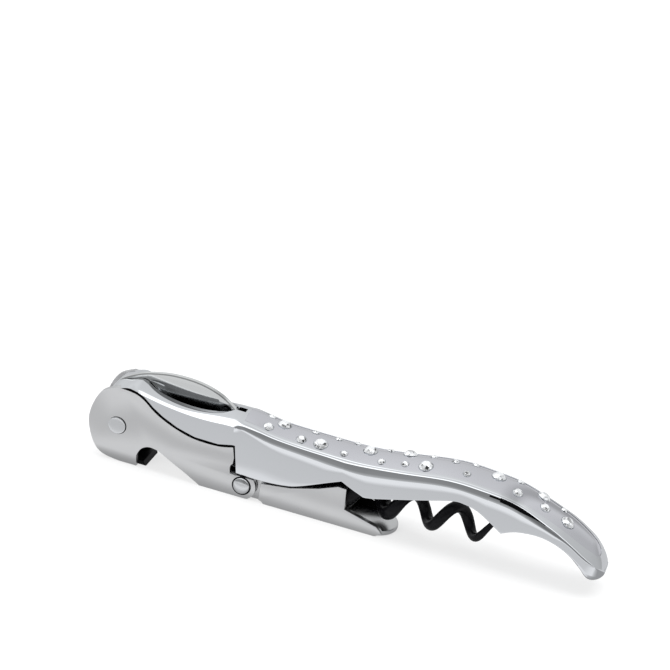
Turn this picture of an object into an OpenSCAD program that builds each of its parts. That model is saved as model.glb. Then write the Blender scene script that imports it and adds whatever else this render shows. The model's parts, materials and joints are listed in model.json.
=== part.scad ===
// Double-lever corkscrew, folded: handle, foil knife, worm and a two-step lever.
// X runs along the closed tool (lever head at -X, tail at +X), +Z is up and the lever
// links' flat belly is at Z = 0. Outlines are given from the lever pivot.

/* [Handle] */
// Width of the handle's head and of the links
handle_w = 11; // [10.8:0.1:11.6]
// How far each side of the handle swells out behind the links
flare = 0.9; // [0.6:0.05:1]
// Thickness of each side wall beside the worm
wall = 1.9; // [1.7:0.05:2]
// Height of the rounded shoulder between side and spine
shoulder_h = 2.3; // [1.8:0.1:2.6]
// Width of that shoulder
shoulder_w = 1.2; // [1:0.05:1.3]
// Width of the bright rim beside the spine cover
rim_w = 0.4; // [0.3:0.05:0.45]
// Thickness of the spine cover at its edge
cover_t = 1; // [0.8:0.1:1.1]
// Depth of the spine cover below the rim
cover_drop = 0.12; // [0.08:0.02:0.2]
// Height of the spine's crown above its edges
crown_h = 1.3; // [1:0.05:1.5]
// Height of the channel roof above the lever pivot
channel_roof = 3.6; // [3.2:0.1:3.8]

/* [Lever] */
// Height of the lever pivot above the belly of the links
pivot_h = 9.2; // [9.2:0.05:9.4]
// Sheet thickness of the two links
sheet = 1.2; // [1:0.1:1.3]
// Play between the handle's head and a link's cheek
side_play = 0.2; // [0.15:0.05:0.3]
// Radius of the lever rivet
lever_rivet_r = 2.1; // [1.9:0.05:2.3]
// Radius of the elbow rivet's shaft
elbow_rivet_r = 1.4; // [1.2:0.05:1.5]
// Radius of the elbow rivet's domed head
elbow_head_r = 2; // [1.8:0.05:2.1]
// Thickness of the elbow washers
elbow_washer_t = 0.3; // [0.2:0.05:0.4]

/* [Worm] */
// Outer diameter of the worm
worm_d = 8.3; // [7.9:0.1:8.4]
// Wire diameter of the worm
wire_d = 2.6; // [2.3:0.1:2.7]
// Advance of the worm in one turn
pitch = 10.3; // [9.9:0.1:10.6]
// Turning sense of the worm, left-handed or right-handed
worm_hand = -1; // [-1, 1]
// Radius of the worm's pivot pin
worm_pin_r = 1.3; // [1.1:0.05:1.4]
// Radius of the ferrule's eye
eye_r = 3; // [2.6:0.1:3.1]
// Width of the ferrule along its pin
eye_w = 5.2; // [4.6:0.1:5.6]

/* [Knife] */
// Thickness of the knife blade
blade_t = 1.3; // [1:0.1:1.4]
// Play on each side of the blade in its slot
blade_play = 0.2; // [0.15:0.05:0.25]
// Radius of the blade's round tang
tang_r = 2.9; // [2.6:0.1:3]
// Radius of the knife's pivot pin
knife_pin_r = 1; // [0.8:0.05:1.1]
// Thickness of the backspring's leaf
spring_t = 0.8; // [0.6:0.1:0.9]

/* [Crystals] */
// Diameter of a large crystal
large_d = 3.2; // [2.8:0.1:3.4]
// Diameter of a medium crystal
medium_d = 2.3; // [2:0.1:2.6]
// Diameter of a small crystal
small_d = 1.7; // [1.4:0.1:1.9]
// Height of a large crystal's table above the cover
crystal_rise = 0.6; // [0.4:0.05:0.8]
// Depth of a crystal's seat in the cover
crystal_seat = 0.55; // [0.4:0.05:0.6]

/* [Hidden] */

pivot_x = -54.45;         // the lever pivot lies this far from the middle of the length
fit = 0.02;               // radial clearance of a pin fixed in its hole
running_fit = 0.06;       // radial clearance of a pin that turns
side = handle_w / 2;      // flat outer face of head and links
body_half = side + flare; // flat outer face of the handle behind the links
cheek_in = side - sheet;  // inner face of a link's cheek
head_half = cheek_in - side_play;
channel_half = body_half - wall;
slot_half = blade_t / 2 + blade_play;
elbow = [31.4, -6.2];
worm_pivot = [39, 0];
knife_pivot = [0, 7];
edge_gap = 0.35;          // gap between the lever's upper edge and the handle
seam = 0.3;               // overlap that joins solids of one piece
far = 40;                 // longer than any cut

// Crest of the handle's shoulder, from the head's peak to the tail
crest_points = [[2.3, 10.8], [10.7, 8.8], [17.3, 8.3], [28.3, 8.9], [38, 7.5], [49, 7.1],
    [57.9, 7.2], [66.8, 8.2], [78, 9.8], [85.9, 9.6], [94.3, 8.4], [104.4, 4.4], [110.8, 0.6],
    [115.6, -3.1]];
// Lower edge of the handle's sides, in its smooth stretches
low_front = [[29, -3.7], [35.3, -3.8], [41.4, -3.1], [45, -2], [50.9, 0.8], [54.4, 2.4]];
low_middle = [[54.4, 2.4], [58.7, 0.5], [61.4, 0.2], [72.7, 3.3], [79.6, 5.3], [82.6, 5.4],
    [86.3, 4.3], [91.7, 0.8]];
low_tail = [[91.7, 0.8], [95.4, 2.3], [101, 2.6], [106.4, 0.8], [109.9, -2.2], [112, -4.8],
    [113.5, -5.2], [114.8, -4.5], [115.6, -3.3]];
// Upper edge of the first link, from the top of its head to the end step
link_edge = [[-0.9, 9.7], [3.3, 9.3], [5.8, 8.2], [8.2, 6.3], [10.7, 4.8], [14.5, 3.2],
    [18.9, 2.1], [24.5, 2], [28.6, 2.8]];
head_back = [[1.2, -9.2], [-3, -8.2], [-5.5, -5.2], [-6.9, -0.7], [-6.5, 3.4], [-4.5, 7.6],
    [-0.9, 9.7]];
notch_arch = [[10.7, -3.5], [8.4, -3.2], [6.6, -4.1], [5.6, -6], [5.6, -7.6]];
lip_inner = 7.6;          // edge of the bottle-opener lip behind the head
link_belly = [[21.5, -9.2], [17.7, -7.1], [13.9, -5.2]];
link_end_r = 3.4;
// The first link's cheek: head, upper edge, rounded elbow end, belly and bottle-opener notch
link_outline = concat(curve(head_back, 4), [for (i = [1:8]) link_edge[i]], [[link_edge[8][0], -4]],
    [for (a = [40:-10:-60]) elbow + link_end_r * [cos(a), sin(a)]],
    [[elbow[0], -9.2]], link_belly, curve(notch_arch, 4), [[notch_arch[4][0], -9.2]]);
link_web_end = 27.6;

// Stations along the cover and its outline in plan
cover_start = 29.4;
cover_end = 113.6;
cover_round = 12;
tail_end = 115.8;
tail_round = 6.2;         // length over which the tail's plan rounds off
flare_start = 27;
flare_end = 60;
head_end = 9;             // the shoulders close in from here to the head's peak
head_taper = 0.6;

// Crystals as [distance along the handle, distance across from its middle]
large_at = [[37.7, 0.8], [47.4, -2.3], [58.4, 0.2], [67.1, 2.4], [71.9, -2.3], [87.9, 0.8],
    [98.4, 2.4], [105.1, -1]];
medium_at = [[42.9, -2.6], [34.8, -2.2], [93.1, -2.1], [99.6, -1.5]];
small_at = [[34, 2.6], [44.8, 2.1], [50.3, 2.3], [53.2, -3], [54.6, 3.1], [61.9, -2.9],
    [62.4, 3.1], [67.2, -2.5], [72.3, 3.1], [77.6, 1.7], [82, 3.1], [81.2, -2.3],
    [92.6, 3.1], [103.3, 3.1]];

// Smooth curve through points, n steps from one to the next
function curve(p, n = 6) = concat([for (i = [0:len(p) - 2]) let (
    a = p[max(i - 1, 0)], b = p[i], c = p[i + 1], d = p[min(i + 2, len(p) - 1)])
    for (k = [0:n - 1]) let (t = k / n)
    0.5 * (2 * b + (c - a) * t + (2 * a - 5 * b + 4 * c - d) * t * t
    + (3 * b - a - 3 * c + d) * t * t * t)], [p[len(p) - 1]]);
function between(a, b, step) = [for (x = [a:step:b]) x];
function reverse(p) = [for (i = [len(p) - 1:-1:0]) p[i]];
function shift(p, z) = [for (q = p) [q[0], q[1] + z]];
// Taper of a half width towards a rounded end, 1 where the end is far
function rounded(x, end, length, power) =
    x < end - length ? 1 : pow(max(1 - pow((x - end + length) / length, power), 0.01), 1 / power);

crest = curve(crest_points);
function crest_z(x) = lookup(x, crest);
function crest_slope(x) = atan2(crest_z(x + 1) - crest_z(x - 1), 2);
function eased(t) = let (u = min(max(t, 0), 1)) u * u * (3 - 2 * u);
function flared(x) = side + flare * eased((x - flare_start) / (flare_end - flare_start));
function half_at(x) = flared(x) * rounded(x, tail_end, tail_round, 2);
function rim_at(x) = let (w = half_at(x))
    max(w - shoulder_w, 0.8 * w) * (1 - head_taper * eased((head_end - x) / head_end));
function cover_at(x) = (flared(x) - shoulder_w - rim_w) * rounded(x, cover_end, cover_round, 3);
// The spine is crowned across, and less so where it narrows
function crown_at(x) = crown_h * pow(min(rim_at(x) / (body_half - shoulder_w), 1), 3);
function crown_z(x, y) = crest_z(x) + crown_at(x) * (1 - pow(y / rim_at(x), 2));
function cover_z(x, y) = crown_z(x, y) - cover_drop;
function crown_tilt(x, y) = atan(2 * crown_at(x) * y / pow(rim_at(x), 2));

// Rings round the handle: flat sides, quarter-round shoulders and a crowned top
shoulder_steps = 5;
cover_steps = 6;
function shoulder_ring(x) = let (w = half_at(x), rim = rim_at(x), z = crest_z(x))
    concat([[x, -w, -far]], [for (i = [0:shoulder_steps]) let (a = 90 * i / shoulder_steps)
    [x, -rim - (w - rim) * cos(a), z - shoulder_h * (1 - sin(a))]],
    [for (i = [1:cover_steps - 1]) let (y = rim * (2 * i / cover_steps - 1)) [x, y, crown_z(x, y)]],
    [for (i = [shoulder_steps:-1:0]) let (a = 90 * i / shoulder_steps)
    [x, rim + (w - rim) * cos(a), z - shoulder_h * (1 - sin(a))]], [[x, w, -far]]);
function cover_ring(x) = let (w = cover_at(x))
    concat([[x, -w, crest_z(x) - cover_t]],
    [for (i = [0:cover_steps]) let (y = w * (2 * i / cover_steps - 1)) [x, y, cover_z(x, y)]],
    [[x, w, crest_z(x) - cover_t]]);

function cover_stations(grow) = concat([cover_start - grow], between(cover_start + 1, 103, 1.6),
    between(104, cover_end - 0.4, 0.8), [cover_end + grow]);

module skin(rings) {
    n = len(rings[0]);
    last = (len(rings) - 1) * n;
    polyhedron([for (r = rings) for (p = r) p], concat([[for (i = [0:n - 1]) i]],
        [[for (i = [n - 1:-1:0]) last + i]],
        [for (j = [0:len(rings) - 2]) for (i = [0:n - 1]) let (a = j * n + i, b = j * n + (i + 1) % n)
        each [[a, a + n, b], [b, a + n, b + n]]]));
}

// A plate in the XZ plane, centred on Y or from y0 to y1
module plate(points, half) rotate([90, 0, 0]) linear_extrude(2 * half, center = true) polygon(points);
module cheeks(points, inner, outer) for (s = [-1, 1]) translate([0, s * (inner + outer) / 2, 0])
    plate(points, (outer - inner) / 2);
module pin(at, r, length, $fn = 48) translate([at[0], 0, at[1]]) rotate([90, 0, 0])
    cylinder(h = length, r = r, center = true);
module ring_pair(at, r, bore, inner, outer, $fn = 48) for (s = [-1, 1])
    translate([at[0], s * (inner + outer) / 2, at[1]]) rotate([90, 0, 0]) difference() {
        cylinder(h = outer - inner, r = r, center = true);
        cylinder(h = far, r = bore, center = true);
    }
module from_pivot() translate([pivot_x, 0, pivot_h]) children();

knife_boss_r = tang_r + 0.6;
head_r = 5.2;
head_floor = -2.8;
step_x = 28.95;           // end of the recess that takes the first link
function arc(at, r, a0, a1, n = 12) = [for (i = [0:n]) let (a = a0 + (a1 - a0) * i / n)
    at + r * [cos(a), sin(a)]];
// Side outline: round head, knife boss, open top (the shoulder trims it), tail and lower edge
handle_outline = concat([[step_x, head_floor], [3.6, head_floor]], arc([0, 0], head_r, -40, -200),
    arc(knife_pivot, knife_boss_r, 200, 110), [[1.2, 10.3], [5, far / 2], [111, far / 2],
    [crest_points[13][0], 0]],
    reverse(concat(curve(low_front), curve(low_middle), curve(low_tail))));
// The link's cheeks lie in this recess on each side of the head
recess_outline = concat([[step_x, -far / 2], [step_x, link_edge[8][1] + edge_gap]],
    shift([for (i = [7:-1:1]) link_edge[i]], edge_gap),
    [[1.2, 10.6], [-far / 2, 10.6], [-far / 2, -far / 2]]);
// Scoop that bares the blade: a ring-shaped cut about an axis across the handle
scoop_at = [15.9, 19];
scoop_r = 4;
scoop_ring_r = 9.8;
channel_start = 33.4;
channel_end = 96;
slot_floor = 3;
slot_end = 28.6;
spring_pin_r = 0.7;
spring_pin_at = [24.5, slot_floor + spring_t + spring_pin_r + 2 * fit];

// The cover's outline in plan, as a tall prism
module cover_plan(grow) translate([0, 0, -far]) linear_extrude(2 * far) polygon(concat(
    [for (x = cover_stations(grow)) [x, -cover_at(x) - grow]],
    reverse([for (x = cover_stations(grow)) [x, cover_at(x) + grow]])));

module handle_blank() difference() {
    intersection() {
        plate(handle_outline, body_half + seam);
        skin([for (x = concat([-8, 0, 1.4, 2.7], between(4, 110, 1.6), between(110.8, tail_end + 1, 0.6)))
            shoulder_ring(x)]);
    }
    for (s = [-1, 1]) translate([0, s * (head_half + far / 2), 0]) plate(recess_outline, far / 2);
}

module handle_frame() color("lightsteelblue") from_pivot() difference() {
    handle_blank();
    // seat of the spine cover
    intersection() {
        plate(concat([for (x = cover_stations(1)) [x, crest_z(x) - cover_t - fit]],
            [[cover_end + 1, far / 2], [cover_start - 1, far / 2]]), body_half);
        cover_plan(fit);
    }
    // channel for the worm, and room for the elbow
    translate([channel_start, -channel_half, -far])
        cube([channel_end - channel_start, 2 * channel_half, far + channel_roof]);
    translate([elbow[0] - 4.8, -channel_half, -far]) cube([9, 2 * channel_half, far + head_floor - 0.1]);
    // knife slot and scoop
    translate([-far, -slot_half, slot_floor]) cube([far + slot_end, 2 * slot_half, far]);
    translate([scoop_at[0], 0, scoop_at[1]]) rotate([90, 0, 0])
        rotate_extrude($fn = 96) translate([scoop_ring_r, 0]) circle(scoop_r, $fn = 48);
    pin([0, 0], lever_rivet_r + fit, far);
    pin(knife_pivot, knife_pin_r + fit, 2 * head_half - 1);
    pin(worm_pivot, worm_pin_r + fit, 2 * body_half - 1.2);
    pin(spring_pin_at, spring_pin_r + fit, 2 * head_half - 1);
}

// On the cover's surface, square to it, at each of these places
module seated(places) for (p = places) translate([p[0], p[1], cover_z(p[0], p[1])])
    rotate([-crown_tilt(p[0], p[1]), -crest_slope(p[0]), 0]) translate([0, 0, -crystal_seat]) children();
module crystal_seats(places, d) seated(places) cylinder(h = 3, r = d / 2 + fit, $fn = 32);

module spine_cover() color("silver") from_pivot() difference() {
    skin([for (x = cover_stations(0)) cover_ring(x)]);
    crystal_seats(large_at, large_d);
    crystal_seats(medium_at, medium_d);
    crystal_seats(small_at, small_d);
}

// A round stone: a girdle in its seat and a bevelled crown above it
module crystals(places, d) color("white") from_pivot() seated(places) translate([0, 0, fit]) {
    cylinder(h = crystal_seat, r = d / 2, $fn = 32);
    translate([0, 0, crystal_seat])
        cylinder(h = crystal_rise * d / large_d, r1 = d / 2, r2 = d * 0.3, $fn = 32);
}
module crystals_large() crystals(large_at, large_d);
module crystals_medium() crystals(medium_at, medium_d);
module crystals_small() crystals(small_at, small_d);

// A straight rivet with low domed ends
module domed_ends(at, r, from, rise) translate([at[0], 0, at[1]]) for (s = [-1, 1])
    rotate([s * 90, 0, 0]) translate([0, 0, from]) rotate_extrude($fn = 48)
    polygon(concat([[0, 0]], [for (a = [0:15:90]) [r * cos(a), rise * sin(a)]]));

module lever_rivet() color("gainsboro") from_pivot() {
    pin([0, 0], lever_rivet_r, 2 * side);
    domed_ends([0, 0], lever_rivet_r, side - 0.05, 0.4);
}
module lever_washers() color("dimgray") from_pivot()
    ring_pair([0, 0], 4, lever_rivet_r + fit, head_half, cheek_in);

module upper_link() color("darkgray") from_pivot() difference() {
    union() {
        cheeks(link_outline, cheek_in, side);
        // webs of the channel: the bottle-opener lip, and the belly behind the notch
        plate([head_back[1], head_back[0], [lip_inner, -9.2], [lip_inner - 0.6, -8], [1.3, -8],
            [-2.4, -7.2]], cheek_in + seam);
        plate(concat(reverse(link_belly), [[link_web_end, -9.2], [link_web_end, -8],
            [link_belly[0][0] + 0.4, -8], [link_belly[2][0] + 0.4, -4.1]]), cheek_in + seam);
    }
    pin([0, 0], lever_rivet_r + running_fit, far);
    pin(elbow, elbow_rivet_r + fit, far);
}

module elbow_rivet() color("gainsboro") from_pivot() {
    pin(elbow, elbow_rivet_r, 2 * side + 0.2);
    domed_ends(elbow, elbow_head_r, side + 0.02, 0.65);
}
tongue_out = cheek_in - elbow_washer_t;
tongue_in = tongue_out - sheet;
module elbow_washers() color("dimgray") from_pivot()
    ring_pair(elbow, 2.4, elbow_rivet_r + fit, tongue_out, cheek_in);

link2_face = 35.8;        // where the cheeks of the second link start
link2_tip = 65.3;
link2_edge = [[link2_face, -4.3], [42.7, -3.3], [49.2, -1.4], [53.7, 0.5], [55.7, 0.4], [56, -4.7],
    [63.9, -6.8], [link2_tip, -8.2]];
joggle_end = 38.6;        // the joggle widens the tongue to the cheeks by here
lip_x = 62.2;
module lower_link() color("darkgray") from_pivot() difference() {
    union() {
        cheeks(concat(link2_edge, [[link2_tip, -9.2], [link2_face + 1.2, -9.2], [link2_face, -8]]),
            cheek_in, side);
        translate([link2_face + 0.8, -side + 0.1, -9.2])
            cube([lip_x - link2_face - 0.8, 2 * side - 0.2, sheet]);
        translate([lip_x, 0, -9.2]) cylinder(h = sheet, r = side, $fn = 96);
        // the narrow tongue and the joggle that joins it to the cheeks
        cheeks([[elbow[0], -9.2], [joggle_end, -9.2], [joggle_end, -4.1], [elbow[0], -3.7]],
            tongue_in, tongue_out);
        for (s = [-1, 1]) translate([elbow[0], s * (tongue_in + tongue_out) / 2, elbow[1]])
            rotate([90, 0, 0]) cylinder(h = sheet, r = 3, center = true, $fn = 64);
        cheeks([[link2_face, -8.6], [joggle_end - 0.5, -9.2], [joggle_end, -9.2], [joggle_end, -4.2],
            [link2_face, -4.5]], tongue_in, side - 0.2);
    }
    pin(elbow, elbow_rivet_r + running_fit, far);
}

// Centre line of the worm: a straight shank that winds into the helix
wire_r = wire_d / 2;
coil_r = worm_d / 2 - wire_r;
worm_axis_z = -2.15;
coil_start = 53.9;        // a lowest point of the coil lies here
shank_x = 42.2;
shank_z = -1.2;
turns = 3.7;
steps = 18;
function coil_point(t) = let (a = 360 * t, g = t < 0 ? max(1 + t * 2, 0) : 1)
    [coil_start + pitch * t, worm_hand * coil_r * sin(a) * g,
    worm_axis_z - coil_r * cos(a) * g + (1 - g) * (shank_z - worm_axis_z)];
function worm_line() = concat(
    [for (x = [0, 1, 3.3]) [shank_x + x, 0, shank_z]],
    [for (i = [-steps / 2:turns * steps]) coil_point(i / steps)]);
function unit(v) = v / norm(v);
// Rings square to a line, thinning to a point over the last turn
function tube_rings(line, r, sides, taper) = [for (i = [0:len(line) - 1]) let (
    d = unit(line[min(i + 1, len(line) - 1)] - line[max(i - 1, 0)]),
    across = unit(cross([0, 0, 1], d)), over = cross(d, across),
    left = len(line) - 1 - i, q = r * (left < taper ? 0.18 + 0.82 * pow(left / taper, 0.8) : 1))
    [for (k = [0:sides - 1]) line[i] + q * (cos(360 * k / sides) * across + sin(360 * k / sides) * over)]];
module worm() color("black") from_pivot()
    skin([for (r = tube_rings(worm_line(), wire_r, 10, 16)) reverse(r)]);

module worm_ferrule() color("dimgray") from_pivot() difference() {
    union() {
        pin(worm_pivot, eye_r, eye_w);
        translate([worm_pivot[0], 0, shank_z]) rotate([0, 90, 0]) cylinder(h = 5, r = 2.1, $fn = 48);
    }
    pin(worm_pivot, worm_pin_r + running_fit, far);
    translate([shank_x, 0, shank_z]) rotate([0, 90, 0]) cylinder(h = 10, r = wire_r + fit, $fn = 48);
}
module worm_pin() color("gainsboro") from_pivot() pin(worm_pivot, worm_pin_r, 2 * body_half - 1.3);
module worm_spacers() color("dimgray") from_pivot()
    ring_pair(worm_pivot, 2.4, worm_pin_r + fit, eye_w / 2 + 0.1, channel_half);

blade_back = [[-3, 8.3], [-1.4, 9.8], [1, 11.2], [4, 12.5], [8.7, 13.6], [12.8, 13.9], [16.6, 13.7],
    [20.2, 12.9], [23.4, 11.5], [26.4, 9.3]];
blade_edge = [[26.4, 9.3], [22.4, 7.2], [16.5, 5.9], [9, 5.2], [3, 4.9], [0, 4.3]];
module knife_blade() color("silver") from_pivot() difference() {
    union() {
        plate(concat(curve(blade_back, 4), curve(blade_edge, 4)), blade_t / 2);
        pin(knife_pivot, tang_r, blade_t);
    }
    pin(knife_pivot, knife_pin_r + running_fit, far);
}
module knife_pin() color("gainsboro") from_pivot() pin(knife_pivot, knife_pin_r, 2 * head_half - 1.1);
module knife_washers() color("dimgray") from_pivot()
    ring_pair(knife_pivot, 2.2, knife_pin_r + fit, blade_t / 2 + 0.02, slot_half);
// A leaf along the slot's floor, held down by its pin, with its free end under the tang
module backspring() color("gray") from_pivot()
    plate([[slot_end - 1.5, slot_floor], [slot_end - 1.5, slot_floor + spring_t],
        [8, slot_floor + spring_t], [3.6, slot_floor + 1.2], [3.2, slot_floor + 0.7],
        [7, slot_floor]], slot_half - 0.1);
module spring_pin() color("gainsboro") from_pivot() pin(spring_pin_at, spring_pin_r, 2 * head_half - 1.1);

handle_frame();
spine_cover();
crystals_large();
crystals_medium();
crystals_small();
lever_rivet();
lever_washers();
upper_link();
elbow_rivet();
elbow_washers();
lower_link();
worm();
worm_ferrule();
worm_pin();
worm_spacers();
knife_blade();
knife_pin();
knife_washers();
backspring();
spring_pin();
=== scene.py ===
"""The finished looks of a folding double-lever corkscrew, built round its packed CAD frame."""

import json
import math

import bmesh
import bpy
import numpy as np
from bpy.props import FloatProperty, FloatVectorProperty, IntProperty, PointerProperty
from mathutils import Matrix, Vector


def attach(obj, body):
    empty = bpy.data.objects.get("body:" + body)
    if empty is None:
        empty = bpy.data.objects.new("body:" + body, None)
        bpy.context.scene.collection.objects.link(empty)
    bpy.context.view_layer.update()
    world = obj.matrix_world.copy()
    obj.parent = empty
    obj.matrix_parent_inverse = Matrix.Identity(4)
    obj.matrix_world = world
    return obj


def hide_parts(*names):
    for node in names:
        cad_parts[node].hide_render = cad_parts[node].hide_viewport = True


bl_info = {
    "name": "Lever corkscrew",
    "version": (1, 0, 0),
    "blender": (4, 5, 0),
    "location": "View3D > Sidebar > Corkscrew",
    "description": "Builds the pieces, materials and stage of a folding lever corkscrew",
    "category": "Add Mesh",
}

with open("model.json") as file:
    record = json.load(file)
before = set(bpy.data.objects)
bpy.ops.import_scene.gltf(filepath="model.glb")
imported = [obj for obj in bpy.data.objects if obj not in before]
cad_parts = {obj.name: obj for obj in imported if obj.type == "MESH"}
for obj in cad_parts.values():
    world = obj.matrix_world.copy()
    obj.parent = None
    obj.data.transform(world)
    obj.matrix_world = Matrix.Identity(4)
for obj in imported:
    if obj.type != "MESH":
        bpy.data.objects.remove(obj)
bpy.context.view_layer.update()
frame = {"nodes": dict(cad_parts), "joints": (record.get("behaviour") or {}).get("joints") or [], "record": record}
MM = 0.001
JOINTS = {j["name"]: Vector(j["pos_m"]) for j in frame["joints"]}
PIVOT = JOINTS["lever_swing"]
ELBOW = JOINTS["elbow_swing"] - PIVOT
KNIFE_PIVOT = JOINTS["knife_swing"] - PIVOT
BELLY = -PIVOT.z

# Outlines in the XZ plane, in millimetres from the lever pivot, as the part's source has them
CREST = [(2.3, 10.45), (10.7, 8.8), (17.3, 8.3), (28.3, 8.9), (38, 7.5), (49, 7.1), (57.9, 7.2),
         (66.8, 8.2), (78, 9.8), (85.9, 9.6), (94.3, 8.4), (104.4, 4.4), (110.8, 0.7),
         (113.9, -1.7), (115.2, -3.1), (115.6, -4.0)]
HEAD_TOP = [(-5.2, 0), (-5, 1.4), (-4.4, 2.8), (-3.6, 3.8), (-3.45, 6.8), (-3.2, 7.9), (-2.6, 8.8),
            (-1.2, 9.6), (0.4, 10.1), (1.5, 10.4), (2.3, 10.45)]
LOW_FRONT = [(28.95, -3.7), (35.3, -3.8), (41.4, -3.1), (45, -2), (50.9, 0.8), (54.4, 2.4)]
LOW_MIDDLE = [(54.4, 2.4), (58.7, 0.5), (61.4, 0.2), (72.7, 3.3), (79.6, 5.3), (82.6, 5.4), (86.3, 4.3),
              (91.7, 0.8)]
LOW_TAIL = [(91.7, 0.8), (95.4, 2.3), (101, 2.6), (106.4, 0.8), (109.9, -2.2), (111.7, -4.5), (112.8, -5.2),
            (114, -5.2), (115, -4.8), (115.6, -4.1)]
LINK_EDGE = [(-0.9, 9.7), (3.3, 9.3), (5.8, 8.2), (8.2, 6.3), (10.7, 4.8), (14.5, 3.2), (18.9, 2.1),
             (24.5, 2), (28.2, 2.8)]
HEAD_BACK = [(1.2, -9.2), (-3, -8.2), (-5.5, -5.2), (-6.9, -0.7), (-6.5, 3.4), (-4.5, 7.6), (-0.9, 9.7)]
NOTCH_ARCH = [(10.7, -3.5), (8.4, -3.2), (6.6, -4.1), (5.6, -6), (5.6, -7.6)]
LINK_STEP = [(28.75, 0.2), (28.65, -1.3), (28.2, -1.8), (28.1, -2.6), (28.3, -3.9), (29.5, -4)]
LINK_BELLY = [(21.5, -9.2), (17.7, -7.1), (13.9, -5.2)]
LINK2_EDGE = [(35.8, -4.3), (42.7, -3.3), (49.2, -1.4), (53.7, 0.5), (55.7, 0.4), (56, -4.7), (63.9, -6.8),
              (65.3, -8.2)]
BLADE_BACK = [(-3, 8.3), (-1.4, 9.8), (1, 11.2), (4, 12.5), (8.7, 13.6), (12.8, 13.9), (16.6, 13.7),
              (20.2, 12.9), (23.4, 11.5), (26.4, 9.3)]
BLADE_GRIND = [(0, 10.2), (4, 9.8), (8, 9.6), (12, 9.9), (16.5, 10.3), (20, 10.6), (23, 10.5), (26.4, 9.3)]
BLADE_EDGE = [(0, 4.3), (3, 4.9), (9, 5.2), (16.5, 5.9), (22.4, 7.2), (26.4, 9.3)]

# Where along the handle a change of shape starts, and the length that it takes, in millimetres
SPANS = {"head": (0, 4), "gap": (5, 13), "bevel": (13, 11), "shoulder": (26, 16), "flare": (27, 33),
         "rounding": (27.2, 3), "cover": (30, 6), "ledge": (34, 6), "slit": (95, 6), "tail": (98, 9),
         "tail edges": (106, 8)}

# Stones as (along the handle, across from its middle) in millimetres
STONES = {
    "large": [(37.7, 0.8), (47.4, -2.3), (58.4, 0.2), (67.1, 2.4), (71.9, -2.3), (87.9, 0.8),
              (98.4, 2.4), (105.1, -1.0)],
    "medium": [(42.9, -2.6), (34.8, -2.2), (93.1, -2.1), (99.6, -1.5)],
    "small": [(34.0, 2.6), (44.8, 2.1), (50.3, 2.3), (53.2, -3.0), (54.6, 3.1), (61.9, -2.9),
              (62.4, 3.1), (67.2, -2.5), (72.3, 3.1), (77.6, 1.7), (82.0, 3.1), (81.2, -2.3),
              (92.6, 3.1), (103.3, 3.1)],
}


# ---------------------------------------------------------------- sizes and colours

def length(name, value, text):
    """A length property, in metres."""
    return FloatProperty(name=name, default=value * MM, min=0, description=text, unit="LENGTH")


def colour(name, value, text):
    """A colour property."""
    return FloatVectorProperty(name=name, default=value, size=3, min=0, max=1, subtype="COLOR",
                               description=text)


def share(name, value, text):
    """A property without a unit."""
    return FloatProperty(name=name, default=value, description=text)


class HandleSizes(bpy.types.PropertyGroup):
    """Sizes of the handle and its spine cover"""
    half: length("Head half width", 5.5, "Half the width of the head and of the links")
    flare: length("Flare", 0.9, "How far each side swells out behind the links")
    shoulder_h: length("Shoulder height", 3.4, "Height of the rounded shoulder")
    neck_h: length("Neck bevel height", 1.0, "Height of the bevel along the neck")
    neck_w: length("Neck bevel width", 1.35, "Width of the bevel along the neck")
    rim: length("Rim", 2.1, "Width of the frame beside the cover, its shoulder included")
    crown: length("Crown", 1.3, "Height of the spine's crown")
    cover_t: length("Cover thickness", 1.0, "Thickness of the cover at its edge")
    cover_drop: length("Cover drop", 0.12, "Depth of the cover below the rim")
    edge_round: length("Edge rounding", 0.25, "Rounding of the lower edges")
    channel_half: length("Channel half width", 4.5, "Half the width of the worm's channel")
    channel_roof: length("Channel roof", 3.6, "Height of the channel's roof above the lever pivot")
    slot_half: length("Slot half width", 0.85, "Half the width of the knife's slot")
    slot_floor: length("Slot floor", 3.0, "Height of the slot's floor above the lever pivot")
    head_half: length("Neck half width", 4.1, "Half the width between the link's cheeks")
    scoop_r: length("Scoop radius", 4.0, "Radius of the scoop across the handle")
    scoop_ring: length("Scoop sweep", 9.8, "Radius of the scoop along the handle")


class LinkSizes(bpy.types.PropertyGroup):
    """Sizes of the two links and their rivets"""
    sheet: length("Sheet", 1.2, "Thickness of the links' sheet")
    bend: length("Bend", 1.1, "Outer radius of the bends along the belly")
    edge: length("Edge", 0.12, "Rounding of the blanked edges")
    end_r: length("Link end radius", 3.4, "Radius of the first link's elbow end")
    lever_rivet_r: length("Lever rivet radius", 2.1, "Radius of the lever rivet's head")
    elbow_rivet_r: length("Elbow rivet radius", 2.0, "Radius of the elbow rivet's head")
    washer_t: length("Washer", 0.3, "Thickness of the elbow washers")
    curl_h: length("Curl height", 3.6, "Height over which the head's sheet curls in")
    curl_in: length("Curl", 0.7, "How far the head's sheet curls in at the belly")


class WormSizes(bpy.types.PropertyGroup):
    """Sizes of the worm"""
    diameter: length("Worm diameter", 8.3, "Outer diameter of the worm")
    wire: length("Wire diameter", 2.75, "Diameter of the worm's wire")
    pitch: length("Pitch", 10.3, "Advance in one turn")
    turns: share("Turns", 3.7, "Turns of the worm")
    sides: IntProperty(name="Sides", default=20, min=8, description="Sides of the wire")


class KnifeSizes(bpy.types.PropertyGroup):
    """Sizes of the knife blade"""
    thickness: length("Blade thickness", 1.3, "Thickness at the back")
    keen: length("Edge thickness", 0.16, "Thickness at the cutting edge")
    tang_r: length("Tang radius", 2.9, "Radius of the round tang")


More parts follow.
